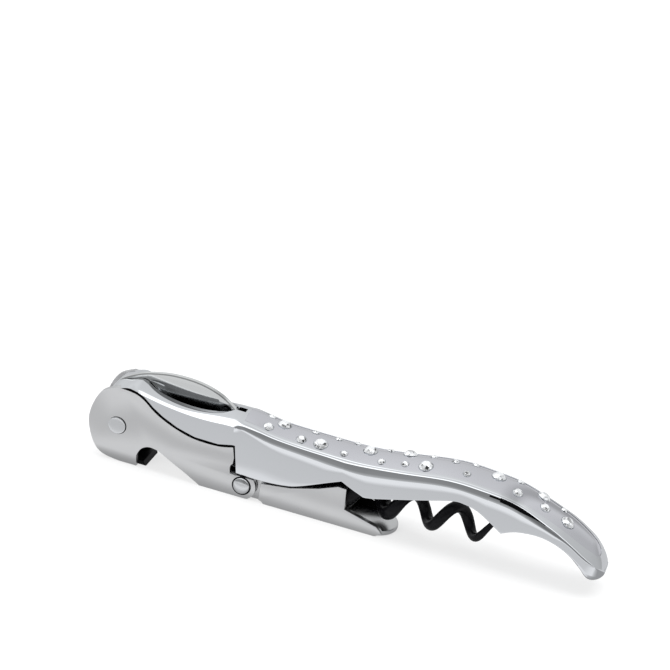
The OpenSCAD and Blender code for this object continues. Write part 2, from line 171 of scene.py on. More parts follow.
class StoneSizes(bpy.types.PropertyGroup):
    """Sizes of the stones"""
    large: length("Large stone", 3.2, "Diameter of a large stone")
    medium: length("Medium stone", 2.3, "Diameter of a medium stone")
    small: length("Small stone", 1.7, "Diameter of a small stone")
    seat_w: length("Seat width", 0.16, "Width of the bead round a stone")
    crown: share("Crown share", 0.27, "Height of a stone's crown as a share of its diameter")


class Finish(bpy.types.PropertyGroup):
    """Colours of the finishes, and of the painted shade in gaps and hollows"""
    chrome: colour("Chrome", (0.86, 0.875, 0.895), "Polished plating of the handle")
    cover: colour("Cover chrome", (0.84, 0.84, 0.88), "Polished plating of the spine cover")
    link: colour("Link steel", (0.8, 0.8, 0.8), "Satin sheet steel")
    rivet: colour("Rivet steel", (0.8, 0.81, 0.82), "Turned steel")
    blade: colour("Blade steel", (0.96, 0.97, 0.96), "Polished blade")
    coating: colour("Worm coating", (0.006, 0.006, 0.007), "Low-friction coating")
    spring: colour("Spring steel", (0.3, 0.31, 0.33), "Backspring")
    washer: colour("Washer steel", (0.12, 0.12, 0.13), "Steel washers and spacers")
    # The beads are real; their darker grey is painted shade round the stones
    seat: colour("Seat", (0.5, 0.52, 0.55), "Beads round the stones")
    nylon: colour("Nylon", (0.05, 0.05, 0.055), "Washers and spacers")
    # Near black: painted shade in channels, slots, gaps and round the rivets
    inside: colour("Inside", (0.006, 0.006, 0.007), "Dull inside of channels, slots and gaps")
    # Darker than the chrome, and near black in the depth: painted shade in the scoop
    hollow: colour("Scoop", (0.5, 0.51, 0.53), "Dull steel of the scoop's rim")
    stone: colour("Stone", (0.98, 0.99, 1.0), "Clear crystal")
    floor: colour("Floor", (0.96, 0.96, 0.96), "Paper under the corkscrew")


class StageSettings(bpy.types.PropertyGroup):
    """Camera of the main view, and the floor"""
    azimuth: share("Azimuth", 13.57, "Degrees round from the front towards the tail")
    elevation: share("Elevation", 25.0, "Degrees above the horizon")
    roll: share("Roll", 9.35, "Degrees of roll")
    distance: length("Distance", 500, "From the camera to the point it looks at")
    lens: share("Lens", 117.2, "Focal length on a 36 mm sensor")
    target: FloatVectorProperty(name="Target", default=(-0.01257, 0.01703, 0.03509), size=3,
                                subtype="XYZ", unit="LENGTH", description="The point it looks at")
    veil: share("Veil", 0.68, "How far the camera sees the floor as plain white")


GROUPS = {"cork_handle": HandleSizes, "cork_links": LinkSizes, "cork_worm": WormSizes,
          "cork_knife": KnifeSizes, "cork_stones": StoneSizes, "cork_finish": Finish,
          "cork_stage": StageSettings}


# Material slots of a piece: the plate; near black, painted shade in channels, slots and gaps; and steel that
# shades to near black in the scoop's depth, also painted shade
PLATE, PAINTED_SHADE, SHADED_SCOOP = 0, 1, 2          # materials of a painted piece


# ---------------------------------------------------------------- curves and meshes

def curve(points, steps=8):
    """A smooth curve through points in millimetres, as rows of X and Z in metres."""
    p = np.array([points[0], *points, points[-1]], float) * MM
    t = np.linspace(0, 1, steps, endpoint=False)[:, None]
    parts = [0.5 * (2 * b + (c - a) * t + (2 * a - 5 * b + 4 * c - d) * t ** 2
                    + (3 * b - a - 3 * c + d) * t ** 3)
             for a, b, c, d in zip(p, p[1:], p[2:], p[3:])]
    return np.vstack([*parts, p[-1:]])


def straight(points):
    """Points in millimetres as rows in metres, joined by straight lines."""
    return np.array(points, float) * MM


def at(line, x):
    """Height of a line at x."""
    return float(np.interp(x, line[:, 0], line[:, 1]))


def eased(t):
    """A smooth step from 0 to 1."""
    t = min(max(t, 0.0), 1.0)
    return t * t * (3 - 2 * t)


def rise(x, name):
    """A smooth step from 0 to 1 along the handle, over the span of this name."""
    start, reach = SPANS[name]
    return eased((x / MM - start) / reach)


def rounded(x, end, span, power):
    """Taper towards a rounded end, 1 where the end is far."""
    if x < end - span:
        return 1.0
    return max(1 - ((x - end + span) / span) ** power, 0.004) ** (1 / power)


def place(x, y, z):
    """A point given from the lever pivot, in the frame."""
    return Vector((PIVOT.x + x, y, PIVOT.z + z))


def arc(x, z, radius, first, last, count):
    """Points on an arc about x and z, from the first angle to the last in degrees."""
    return [(x + radius * math.cos(a), z + radius * math.sin(a))
            for a in np.radians(np.linspace(first, last, count))]


def loft(bm, rings, paints=None):
    """Sweeps a closed outline through the rings: each is the one before, extruded and moved."""
    verts = [bm.verts.new(p) for p in rings[0]]
    edges = [bm.edges.new(pair) for pair in zip(verts, verts[1:] + verts[:1])]
    bmesh.ops.contextual_create(bm, geom=edges)
    for index, ring in enumerate(rings[1:]):
        made = set(bmesh.ops.extrude_edge_only(bm, edges=edges)["geom"])
        verts = [next(e.other_vert(v) for e in v.link_edges if e.other_vert(v) in made) for v in verts]
        for v, p in zip(verts, ring):
            v.co = p
        edges = [bm.edges.get(pair) for pair in zip(verts, verts[1:] + verts[:1])]
        for edge, paint in zip(edges, paints[index] if paints else ()):
            edge.link_faces[0].material_index = paint
    bmesh.ops.contextual_create(bm, geom=edges)


def extruded(bm, face, move):
    """Extrudes a face, which stays, and gives the face at the far end."""
    made = bmesh.ops.extrude_face_region(bm, geom=[face], use_keep_orig=True)["geom"]
    bmesh.ops.translate(bm, verts=[v for v in made if isinstance(v, bmesh.types.BMVert)], vec=move)
    return next(f for f in made if isinstance(f, bmesh.types.BMFace))


def prism(bm, outline, y0, y1):
    """A plate between y0 and y1 with this outline, and its face at y1."""
    face = bm.faces.new([bm.verts.new(place(x, y0, z)) for x, z in outline])
    return extruded(bm, face, (0, y1 - y0, 0))


def bevel(bm, edges, width, segments):
    """Rounds these edges."""
    bmesh.ops.bevel(bm, geom=list(edges), offset=width, offset_type="OFFSET", affect="EDGES",
                    segments=segments, profile=0.5, material=-1, clamp_overlap=True)


def spun(bm, profile, steps, centre, axis=(0, 1, 0)):
    """Spins a profile of points once round an axis through centre."""
    verts = [bm.verts.new(p) for p in profile]
    edges = [bm.edges.new(pair) for pair in zip(verts, verts[1:])]
    bmesh.ops.spin(bm, geom=[*verts, *edges], cent=centre, axis=axis, angle=2 * math.pi, steps=steps,
                   use_merge=True)


def turned(bm, profile, steps, centre):
    """Spins a profile of (radius, y) round an axis across the handle, at centre from the pivot."""
    points = [place(centre.x + radius, y, centre.z) for radius, y in profile]
    spun(bm, points, steps, place(centre.x, 0, centre.z))


def placed(name, data):
    """An object with this data, in the scene."""
    item = bpy.data.objects.new(name, data)
    bpy.context.scene.collection.objects.link(item)
    return item


def from_bmesh(name, bm):
    """A mesh object made from a bmesh, which is freed."""
    mesh = bpy.data.meshes.new(name)
    bm.to_mesh(mesh)
    bm.free()
    return placed(name, mesh)


def finish_piece(bm, name, body, slots, replaces="", sharp=35.0, weld=0.004 * MM, paint=None):
    """Turns a bmesh into a smooth-shaded piece that rides on a body, and frees the bmesh.

    Its materials are those of the slots, in the order of PLATE, PAINTED_SHADE and SHADED_SCOOP; the last two are
    painted shade."""
    bmesh.ops.remove_doubles(bm, verts=bm.verts, dist=weld)
    bmesh.ops.dissolve_degenerate(bm, edges=bm.edges, dist=weld)
    bmesh.ops.recalc_face_normals(bm, faces=bm.faces)
    for face in bm.faces:
        face.smooth = True
        if paint:
            face.material_index = paint(face)
    for edge in bm.edges:
        edge.smooth = not edge.is_manifold or edge.calc_face_angle(0) < math.radians(sharp)
    piece = from_bmesh(name, bm)
    for material in slots:
        piece.data.materials.append(material_for(material))
    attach(piece, body)
    if replaces:
        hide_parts(replaces)
    return piece


# ---------------------------------------------------------------- shape of the handle

class Handle:
    """The handle's shape along its length: heights and half widths in metres from the lever pivot."""
    step_x = 28.95 * MM
    slot_end = 28.6 * MM
    cover_start = 29.4 * MM
    cover_end = 113.6 * MM
    channel = (33.4 * MM, 96 * MM)
    elbow_room = (26.6 * MM, 35.6 * MM)
    tail_end = 115.8 * MM
    head_floor = -2.8 * MM
    head_r = 5.2 * MM
    link_gap = 0.5 * MM
    scoop_at = Vector((15.9 * MM, 0, 19 * MM))
    slit = (87.6 * MM, 101 * MM)
    slit_step = 90.1 * MM
    slit_deep = 0.6 * MM
    tail_round = 1.6 * MM                # rounding that the tail's lower edges gain
    bench = 0.52                         # share of the scoop's side that is nearly level
    lean_notch = 3.15 * MM               # height of the notch in the leaning step
    lean_in = 0.4 * MM                   # depth of the notch
    lean_back = 1.1 * MM                 # how far the step leans back below the notch
    lean_fall = 6.85 * MM                # height over which it does
    lean_over = 2.3 * MM                 # height over which the step comes back above it
    lean_reach = 4 * MM                  # how far along the handle the lean fades out
    bulge = 0.3 * MM                     # how far the flat sides round in towards the belly
    bead = 0.02 * MM                     # height of the bead beside the cover
    seam = 0.02 * MM                     # gap between the bead and the cover
    full_w = 4.75 * MM                   # the crown is full where 0.8 of the half width is this
    swell_at, swell_reach = 59 * MM, 17 * MM     # middle and reach of the grip's swollen shoulder

    def __init__(self, sizes):
        self.sizes = sizes
        self.crest_line = np.vstack([curve(HEAD_TOP, 6)[:-1], curve(CREST)])
        self.low_line = np.vstack([curve(LOW_FRONT), curve(LOW_MIDDLE)[1:], curve(LOW_TAIL)[1:]])
        self.link_line = straight(LINK_EDGE)

    def crest(self, x):
        """Height of the top, before its crown."""
        return at(self.crest_line, x)

    def low(self, x):
        """Height of the underside."""
        if x > self.step_x:
            return at(self.low_line, x)
        round_head = math.sqrt(max(self.head_r ** 2 - x * x, 0)) if x < 4.2 * MM else 0
        return min(-round_head, self.head_floor) if x > 0 else -round_head

    def flared(self, x):
        """Half width, if the tail weren't rounded."""
        return self.sizes.half + self.sizes.flare * rise(x, "flare")

    def half(self, x):
        """Half width."""
        return self.flared(x) * rounded(x, self.tail_end, 6.2 * MM, 2)

    @staticmethod
    def head_taper(x):
        """Share of its width that the top keeps at the rounded head."""
        return 0.4 + 0.6 * rise(x, "head")

    def growth(self, x):
        """How far the bevel has grown along the neck, and the shoulder behind it; how much the
        shoulder swells in the middle of the grip; and how far the section has come to the tail."""
        swell = eased(1 - abs(x - self.swell_at) / self.swell_reach)
        return 0.45 + 0.55 * rise(x, "bevel"), rise(x, "shoulder"), swell, rise(x, "tail")

    def rim(self, x):
        """Half width of the top, inside the bevel or the shoulder."""
        neck, grown, swell, tail = self.growth(x)
        w, bevel_w = self.half(x), self.sizes.neck_w * neck
        shoulder_w = (0.2 + 0.06 * swell - 0.1 * tail) * w
        return (w - bevel_w - (shoulder_w - bevel_w) * grown) * self.head_taper(x)

    def shoulder(self, x):
        """Height of the bevel or the shoulder, less where the handle is thin."""
        s, crest = self.sizes, self.crest(x)
        neck, grown, swell, tail = self.growth(x)
        bevel_h = s.neck_h * neck
        if x < 14 * MM:
            bevel_h = min(bevel_h, max(crest - at(self.link_line, x) - self.gap(x), 0.3 * MM))
        shoulder_h = (1 + 0.3 * swell - 0.78 * tail) * s.shoulder_h
        return min(bevel_h + (shoulder_h - bevel_h) * grown, 0.6 * (crest - self.low(x)))

    def cover(self, x):
        """Half width of the cover."""
        return (self.flared(x) - self.sizes.rim) * rounded(x, self.cover_end, 12 * MM, 3)

    def top(self, x, y):
        """Height of the crowned top."""
        full = 0.8 * self.half(x) * self.head_taper(x) / self.full_w
        crown = self.sizes.crown * min(full, 1) ** 3
        return self.crest(x) + crown * (1 - (y / self.rim(x)) ** 2)

    def scoop(self, x, y):
        """Height of the scoop's surface, or the top's where there is no scoop."""
        s, top = self.sizes, self.top(x, y)
        reach = s.scoop_ring + math.sqrt(max(s.scoop_r ** 2 - y * y, 0))
        along = x - self.scoop_at.x
        if abs(along) >= reach:
            return top
        return min(self.scoop_at.z - math.sqrt(reach ** 2 - along ** 2), top)

    def scoop_edge(self, x):
        """Distance from the middle at which the scoop meets the top."""
        def open_at(y):
            return self.scoop(x, y) < self.top(x, y) - 0.001 * MM

        inner, outer = self.sizes.slot_half, min(self.sizes.scoop_r, self.rim(x))
        if open_at(inner):
            for _ in range(30):
                middle = (inner + outer) / 2
                inner, outer = (middle, outer) if open_at(middle) else (inner, middle)
        return inner

    def side(self, x, z):
        """Half width of the side at height z: it rounds in a little towards the belly."""
        below = max(self.crest(x) - self.shoulder(x) - z, 0) / (9 * MM)
        return self.half(x) - self.bulge * min(below, 1) ** 2

    def ledge(self, x):
        """Height of the ledge over the link, which behind the link is only a row of the side."""
        ledge = min(at(self.link_line, x) + self.gap(x), self.crest(x) - 0.3 * MM)
        middle = (self.low(x) + self.crest(x) - self.shoulder(x)) / 2
        return ledge + (middle - ledge) * rise(x, "ledge")

    def gap(self, x):
        """Gap over the link, wider at the head."""
        return self.link_gap + 0.3 * MM * (1 - rise(x, "gap"))

    def section(self, x):
        """Half a cross-section, from the middle of the underside to the middle of the top: rows of
        y, z and the material of the strip that leads there."""
        s = self.sizes
        crest, low, wide, rim = self.crest(x), self.low(x), self.half(x), self.rim(x)
        shoulder, ledge = self.shoulder(x), self.ledge(x)
        power = 2.0 - rise(x, "rounding")     # a flat bevel on the neck, round behind the step
        rows = []

        def run(paint, *points):
            rows.extend((y, z, paint) for y, z in points)

        def on_shoulder(angle, depth=0.0):
            return (rim + (wide - rim) * max(math.cos(angle), 0) ** power - depth,
                    crest - shoulder * (1 - math.sin(angle) ** power) - 0.4 * depth)

        start = 0.0
        if ledge > crest - shoulder:
            start = math.asin((1 - (crest - ledge) / shoulder) ** (1 / power))
        foot = on_shoulder(start)
        on_neck = x < self.step_x
        side = min(s.head_half, foot[0]) if on_neck else self.side(x, low)
        rooms = (self.channel, s.channel_roof), (self.elbow_room, self.head_floor - 0.1 * MM)
        room = next((roof for (a, b), roof in rooms if a < x < b and roof > low), low)
        inner = min(s.channel_half, 0.6 * side)
        edge = s.edge_round + self.tail_round * rise(x, "tail edges")
        edge = min(edge, 0.3 * side, 0.35 * (crest - low))
        # The channel's roof and walls are near black: painted shade
        run(PAINTED_SHADE if room > low else PLATE, (0, room), (inner, room), (inner, low))
        run(PLATE, *arc(side - edge, low + edge, edge, -90, 0, 4))
        outer = foot[0] if start else self.side(x, ledge)
        # On the neck the side beside the link is near black: painted shade in the gap
        run(PAINTED_SHADE if on_neck else PLATE,
            *[(side if on_neck else self.side(x, z), z) for z in np.linspace(low + edge, ledge, 4)[1:]],
            (outer, ledge))
        run(PLATE, *[(outer if start else self.side(x, z), z)
                     for z in np.linspace(ledge, foot[1], 4)[1:-1]])
        # The slit's strip is near black: painted shade
        slit, deep, spread = PLATE, 0.0, 10
        if self.slit[0] < x < self.slit[1]:
            slit, deep = PAINTED_SHADE, self.slit_deep
            spread = 13 if x < self.slit_step else 28 - 20 * rise(x, "slit")
        a1, a2 = (max(start, math.radians(60 + w * spread / 2)) for w in (-1, 1))
        run(PLATE, *[on_shoulder(a) for a in np.linspace(start, a1, 10)])
        run(slit, on_shoulder(a1, deep), on_shoulder(a2, deep), on_shoulder(a2))
        run(PLATE, *[on_shoulder(a) for a in np.linspace(a2, math.pi / 2, 6)[1:]])
        (self.seat if self.cover_start < x < self.cover_end else self.bare_top)(x, rim, run)
        return rows

    def seat(self, x, rim, run):
        """Runs a section on from the rim to the middle where the cover lies."""
        s = self.sizes
        edge, floor = self.cover(x) + self.seam, self.crest(x) - s.cover_t
        for t in (0.2, 0.4, 0.6, 0.8, 1):
            y = rim + (edge - rim) * t
            run(PLATE, (y, self.top(x, y) + self.bead * rise(x, "cover") * math.sin(math.pi * t)))
        run(PLATE, (edge, floor + 0.3 * MM))
        # The floor under the cover is near black: painted shade
        run(PAINTED_SHADE, *[(edge + (s.slot_half - edge) * t, floor) for t in np.linspace(0, 1, 9)])
        run(PAINTED_SHADE, (s.slot_half, floor), (0, floor))

    def bare_top(self, x, rim, run):
        """Runs a section on from the rim to the middle along the scoop and the slot."""
        s = self.sizes
        edge = self.scoop_edge(x)
        open_scoop, in_slot = edge > s.slot_half + 0.02 * MM, x < self.slot_end
        run(PLATE, *[(y, self.top(x, y)) for y in np.linspace(rim, edge, 7)[1:]])
        top, low = self.top(x, edge), self.scoop(x, s.slot_half)
        bank = []
        for t in np.linspace(0, 1, 9):
            y = edge + (s.slot_half - edge) * t
            bench = top - min(0.06 * (edge - y), 0.8 * (top - low))
            bank.append((y, bench + (low - bench) * eased((t - self.bench) / (1 - self.bench))))
        # The scoop's bank shades to near black in its depth, and the slot's walls and floor are near black:
        # painted shade
        run(SHADED_SCOOP if open_scoop else PLATE, *bank[:-1])
        run(PAINTED_SHADE, bank[-1])
        run(PAINTED_SHADE if open_scoop else PLATE, (s.slot_half, s.slot_floor if in_slot else low))
        run(PAINTED_SHADE if in_slot else PLATE, (0, s.slot_floor if in_slot else self.top(x, 0)))

    def lean(self, x, z):
        """The step behind the link leans: how far a point near it moves along the handle."""
        near = max(1 - abs(x - self.step_x) / self.lean_reach, 0)
        below = self.lean_notch - z
        if below > 0:
            return near * (-self.lean_in + self.lean_back * below / self.lean_fall)
        return -near * self.lean_in * (1 - eased(-below / self.lean_over))

    def ring(self, x, after):
        """The whole cross-section just before or after x, as points of the frame, and its paints."""
        half = self.section(x + (1e-7 if after else -1e-7))
        both = half + [(-y, z, paint) for y, z, paint in reversed(half[1:-1])]
        paints = [paint for _, _, paint in half[1:]]
        return [place(x + self.lean(x, z), y, z) for y, z, _ in both], paints + paints[::-1]

    def rings(self):
        """Sections from head to tail, doubled where the shape steps, and the paints behind them."""
        steps = {round(x / MM, 3) for x in (self.step_x, self.slot_end, self.cover_start, self.cover_end,
                                            *self.channel, *self.elbow_room, *self.slit, self.slit_step)}
        steps |= {LOW_MIDDLE[0][0], LOW_TAIL[0][0]}
        runs = [np.linspace(-5.15, -2, 14), np.arange(-1.8, 30, 0.25), np.arange(30.5, 108, 0.7),
                np.linspace(108, 114, 16), 115.27 - 1.22 * np.linspace(1, 0, 10) ** 2]
        rings, paints = [], []
        for x in sorted({round(float(x), 3) for run in runs for x in run} | steps):
            for after in (False, True) if x in steps else (True,):
                ring, paint = self.ring(x * MM, after)
                rings.append(ring)
                # The strips across each step are near black: painted shade
                paints.append(paint if after else [PAINTED_SHADE] * len(paint))
        middle = sum(ring, Vector()) / len(ring)
        for angle in np.radians([30, 50, 68, 82]):
            shift = Vector((0.3 * MM * math.sin(angle), 0, 0))
            rings.append([middle + (p - middle) * math.cos(angle) + shift for p in ring])
            paints.append(paint)
        return rings, paints


# ---------------------------------------------------------------- materials

def emptied(owner):
    """Removes the nodes that a new material or world starts with, and gives its node list."""
    owner.use_nodes = True
    owner.node_tree.nodes.clear()
    return owner.node_tree.nodes


def new_material(name):
    """An empty node material, and its nodes."""
    material = bpy.data.materials.new(name)
    return material, emptied(material)


def feed(socket, value):
    """Gives a socket its value, or links it to the socket that feeds it."""
    if isinstance(value, bpy.types.NodeSocket):
        socket.id_data.links.new(value, socket)
    else:
        socket.default_value = value


def add(nodes, kind, inputs=None, take=0, **settings):
    """Adds a node with its settings and inputs, and gives the output to take from it."""
    node = nodes.new(kind)
    for key, value in settings.items():
        setattr(node, key, value)
    for key, value in (inputs or {}).items():
        feed(node.inputs[key], value)
    return node.outputs[take]


def show(nodes, shader, kind="Material"):
    """Makes this shader the surface of its material or world."""
    feed(nodes.new("ShaderNodeOutput" + kind).inputs["Surface"], shader)


def mapped(nodes, source, low, high, start=0.0, end=1.0):
    """The source, from low to high, as a value from start to end."""
    return add(nodes, "ShaderNodeMapRange", {"Value": source, "From Min": low, "From Max": high,
                                             "To Min": start, "To Max": end})


def graded(nodes, source, stops, tint=(1, 1, 1)):
    """A colour ramp of grey stops, (position, brightness), in one tint."""
    color = add(nodes, "ShaderNodeValToRGB", {"Fac": source})
    elements = color.node.color_ramp.elements
    elements[0].position, elements[-1].position = stops[0][0], stops[-1][0]
    for position, _ in stops[1:-1]:
        elements.new(position)
    for element, (_, value) in zip(elements, stops):
        element.color = (*(value * c for c in tint), 1)
    return color


def mixed(nodes, factor, first, second, **settings):
    """A mix of two colours."""
    return add(nodes, "ShaderNodeMix", {0: factor, 6: first, 7: second}, take=2, data_type="RGBA",
               **settings)


def worked_metal():
    """Node group: fine streaks and faint clouds of a worked metal surface."""
    name = "Worked metal"
    if name in bpy.data.node_groups:
        return bpy.data.node_groups[name]
    group = bpy.data.node_groups.new(name, "ShaderNodeTree")
    for title, way, kind in (("Streak scale", "INPUT", "Vector"), ("Bump", "INPUT", "Float"),
                             ("Streaks", "OUTPUT", "Float"), ("Clouds", "OUTPUT", "Float"),
                             ("Normal", "OUTPUT", "Vector")):
        group.interface.new_socket(title, in_out=way, socket_type="NodeSocket" + kind)
    nodes = group.nodes
    given = nodes.new("NodeGroupInput").outputs
    out = nodes.new("NodeGroupOutput").inputs
    where = add(nodes, "ShaderNodeTexCoord", take="Object")
    stretched = add(nodes, "ShaderNodeVectorMath", {0: where, 1: given["Streak scale"]},
                    operation="MULTIPLY")
    streaks = add(nodes, "ShaderNodeTexNoise", {"Vector": stretched, "Scale": 1.0, "Detail": 3.0,
                                                "Roughness": 0.6})
    feed(out["Streaks"], streaks)
    feed(out["Clouds"], add(nodes, "ShaderNodeTexNoise", {"Vector": where, "Scale": 160.0, "Detail": 2.0}))
    feed(out["Normal"], add(nodes, "ShaderNodeBump", {"Height": streaks, "Strength": given["Bump"],
                                                      "Distance": 0.00002}))
    return group


def metal(name, base, roughness, streak=60, bump=0.0, metallic=1.0, tint=0.0, specular=0.5):
    """A worked metal: roughness is a range that the clouds move within."""
    material, nodes = new_material(name)
    streak = streak if isinstance(streak, tuple) else (streak,) * 3
    worked = add(nodes, "ShaderNodeGroup", {"Streak scale": streak, "Bump": bump},
                 node_tree=worked_metal()).node.outputs
    shader = add(nodes, "ShaderNodeBsdfPrincipled", {
        "Base Color": (*base, 1), "Metallic": metallic, "Specular IOR Level": specular,
        "Roughness": mapped(nodes, worked["Clouds"], 0.15, 0.85, *roughness)})
    if bump:
        feed(shader.node.inputs["Normal"], worked["Normal"])
    if tint:
        deep = (*[c * (1 - tint) for c in base], 1)
        feed(shader.node.inputs["Base Color"], mixed(nodes, worked["Streaks"], (*base, 1), deep))
    show(nodes, shader)
    return material


def crystal(name, base):
    """Cut crystal over a bright foil: each facet is a mirror and a little cloudy, and its colour is a painted
    reflection, near black on some facets and white on others.
    """
    material, nodes = new_material(name)
    where = add(nodes, "ShaderNodeTexCoord").node.outputs
    spread = add(nodes, "ShaderNodeVectorMath", {0: where["Object"], "Scale": 300.0}, operation="SCALE")
    turned_off = add(nodes, "ShaderNodeVectorMath", {0: where["Normal"], 1: (7, 7, 7), 2: spread},
                     operation="MULTIPLY_ADD")
    facet = add(nodes, "ShaderNodeTexNoise", {"Vector": turned_off, "Scale": 1.0, "Detail": 0.0})
    # Painted reflections: by its normal, each facet gets near black, grey or white
    stops = [(0, 0), (0.28, 0.08), (0.36, 0.45), (0.43, 0.85), (0.51, 1), (1, 1)]
    show(nodes, add(nodes, "ShaderNodeBsdfPrincipled", {
        "Base Color": graded(nodes, facet, stops, base), "Metallic": 0.6, "Roughness": 0.04,
        "IOR": 1.6, "Coat Weight": 0.5, "Coat Roughness": 0.02}))
    return material


def hollow(name, base, low, high, roughness):
    """Steel that is bright above `high`, and shades to near black below `low`: painted shade in the depth."""
    material, nodes = new_material(name)
    where = add(nodes, "ShaderNodeTexCoord", take="Object")
    z = add(nodes, "ShaderNodeSeparateXYZ", {0: where}, take="Z")
    depth = mapped(nodes, z, PIVOT.z + low, PIVOT.z + high)
    show(nodes, add(nodes, "ShaderNodeBsdfPrincipled", {
        "Base Color": mixed(nodes, depth, (0.012, 0.012, 0.013, 1), (*base, 1)),
        "Metallic": 1.0, "Roughness": roughness}))
    return material


MATERIALS = {}


def material_for(slot):
    """The material of a slot, made once."""
    finish = bpy.context.scene.cork_finish
    dull = {"metallic": 0.0, "specular": 0.04}
    makers = {
        "handle_chrome": (metal, finish.chrome, (0.03, 0.07)),
        "cover_chrome": (metal, finish.cover, (0.08, 0.14), {"tint": 0.05}),
        "link_steel": (metal, finish.link, (0.26, 0.33), {"streak": 5000, "bump": 0.08, "tint": 0.04}),
        "rivet_steel": (metal, finish.rivet, (0.16, 0.22), {"streak": 3000, "bump": 0.05}),
        "blade_steel": (metal, finish.blade, (0.07, 0.12),
                        {"streak": (150, 4000, 2500), "bump": 0.06, "tint": 0.05}),
        "spring_steel": (metal, finish.spring, (0.25, 0.35)),
        "washer_steel": (metal, finish.washer, (0.3, 0.4)),
        "washer_nylon": (metal, finish.nylon, (0.45, 0.6), {"metallic": 0.0}),
        "ferrule_steel": (metal, finish.coating, (0.3, 0.45), dull | {"specular": 0.2}),
        "worm_coating": (metal, finish.coating, (0.24, 0.34),
                         dull | {"specular": 0.12, "streak": 4000, "bump": 0.1}),
        # Near black: painted shade
        "inside": (metal, finish.inside, (0.45, 0.6), dull),
        # Darker grey beads: painted shade round the stones
        "stone_seat": (metal, finish.seat, (0.12, 0.2)),
        # Steel shading to near black in the depth of the scoop and of the links: painted shade
        "hollow": (hollow, finish.hollow, 7.1 * MM, 8.4 * MM, 0.14),
        "link_inside": (hollow, finish.link, 2 * MM, 5 * MM, 0.4),
        "crystal": (crystal, finish.stone),
    }
    if slot not in MATERIALS:
        make, *given = makers[slot]
        settings = given.pop() if isinstance(given[-1], dict) else {}
        MATERIALS[slot] = make(slot, *given, **settings)
    return MATERIALS[slot]


# ---------------------------------------------------------------- operators for the pieces

class CORK_OT_handle(bpy.types.Operator):
    """Build the handle: rounded shoulders, rim, knife slot, scoop and worm channel"""
    bl_idname = "corkscrew.handle"
    bl_label = "Handle"

    def execute(self, context):
        bm = bmesh.new()
        loft(bm, *Handle(context.scene.cork_handle).rings())
        # Its second and third materials are painted shade
        finish_piece(bm, "handle_shell", "handle", ("handle_chrome", "inside", "hollow"), "handle_frame")
        return {"FINISHED"}


class CORK_OT_cover(bpy.types.Operator):
    """Build the crowned cover along the handle's spine"""
    bl_idname = "corkscrew.cover"
    bl_label = "Spine cover"

    def execute(self, context):
        shape = Handle(context.scene.cork_handle)
        s = shape.sizes
        rings = []
        ends = 113.55 - 11 * np.linspace(1, 0, 14) ** 2
        for x in [x * MM for x in (*np.linspace(29.41, 102, 110), *ends)]:
            w, base = shape.cover(x), shape.crest(x) - s.cover_t + 0.01 * MM
            drop = s.cover_drop * rise(x, "cover")
            top = []
            for y in w * np.sin(np.linspace(-math.pi / 2, math.pi / 2, 25)):
                edge = 0.07 * MM if abs(y) > 0.999 * w else 0
                top.append((y, shape.top(x, y) - drop - edge))
            rings.append([place(x, y, z) for y, z in [(-w, base), *top, (w, base)]])
        bm = bmesh.new()
        loft(bm, rings)
        finish_piece(bm, "spine_panel", "handle", ("cover_chrome",), "spine_cover")
        return {"FINISHED"}


class CORK_OT_stones(bpy.types.Operator):
    """Build the cut stones and the beads of their seats"""
    bl_idname = "corkscrew.stones"
    bl_label = "Stones"

    def execute(self, context):
        sizes = context.scene.cork_stones
        shape = Handle(context.scene.cork_handle)
        seats = bmesh.new()
        for size, places in STONES.items():
            r = getattr(sizes, size) / 2
            bm = bmesh.new()
            for index, (x, y) in enumerate(places):
                where = self.seat_matrix(shape, x * MM, y * MM)
                turn = where @ Matrix.Rotation(index * 0.7, 4, "Z")
                self.stone(bm, turn, r, 2 * r * sizes.crown)
                self.bead(seats, where, r, sizes.seat_w)
            piece = finish_piece(bm, "stones_" + size, "handle", ("crystal",), "crystals_" + size,
                                 sharp=2, weld=0.0005 * MM)
            for face in piece.data.polygons:
                face.use_smooth = False
        # The beads take a darker grey: painted shade round the stones
        finish_piece(seats, "stone_seats", "handle", ("stone_seat",))
        return {"FINISHED"}

    @staticmethod
    def seat_matrix(shape, x, y):
        """Place and tilt of a stone on the crowned cover."""
        step = 0.5 * MM
        along = Vector((2 * step, 0, shape.top(x + step, y) - shape.top(x - step, y)))
        across = Vector((0, 2 * step, shape.top(x, y + step) - shape.top(x, y - step)))
        up = along.cross(across).normalized()
        along.normalize()
        side = up.cross(along)
        turn = Matrix((along, side, up)).transposed().to_4x4()
        return Matrix.Translation(place(x, y, shape.top(x, y) - shape.sizes.cover_drop)) @ turn

    @staticmethod
    def stone(bm, where, r, crown):
        """A brilliant cut: table, crown and girdle facets over a pointed pavilion."""
        points = []
        for count, reach, height, shift in ((8, 0.55 * r, crown, 0), (8, 0.82 * r, 0.6 * crown, 0.5),
                                            (16, r, 0.1 * crown, 0), (16, r, -0.12 * crown, 0)):
            for k in range(count):
                a = 2 * math.pi * (k + shift) / count
                points.append(Vector((reach * math.cos(a), reach * math.sin(a), height)))
        points.append(Vector((0, 0, -0.45 * r)))
        bmesh.ops.convex_hull(bm, input=[bm.verts.new(where @ p) for p in points])

    @staticmethod
    def bead(bm, where, r, width):
        """The bead that holds a stone."""
        profile = [(r - 0.02 * MM, 0, -0.2 * MM), (r, 0, 0.03 * MM), (r + 0.35 * width, 0, 0.06 * MM),
                   (r + 0.8 * width, 0, 0.02 * MM), (r + width, 0, -0.2 * MM)]
        points = [where @ Vector(p) for p in profile]
        spun(bm, points + [points[0]], 32, where.translation, where.to_3x3().col[2])


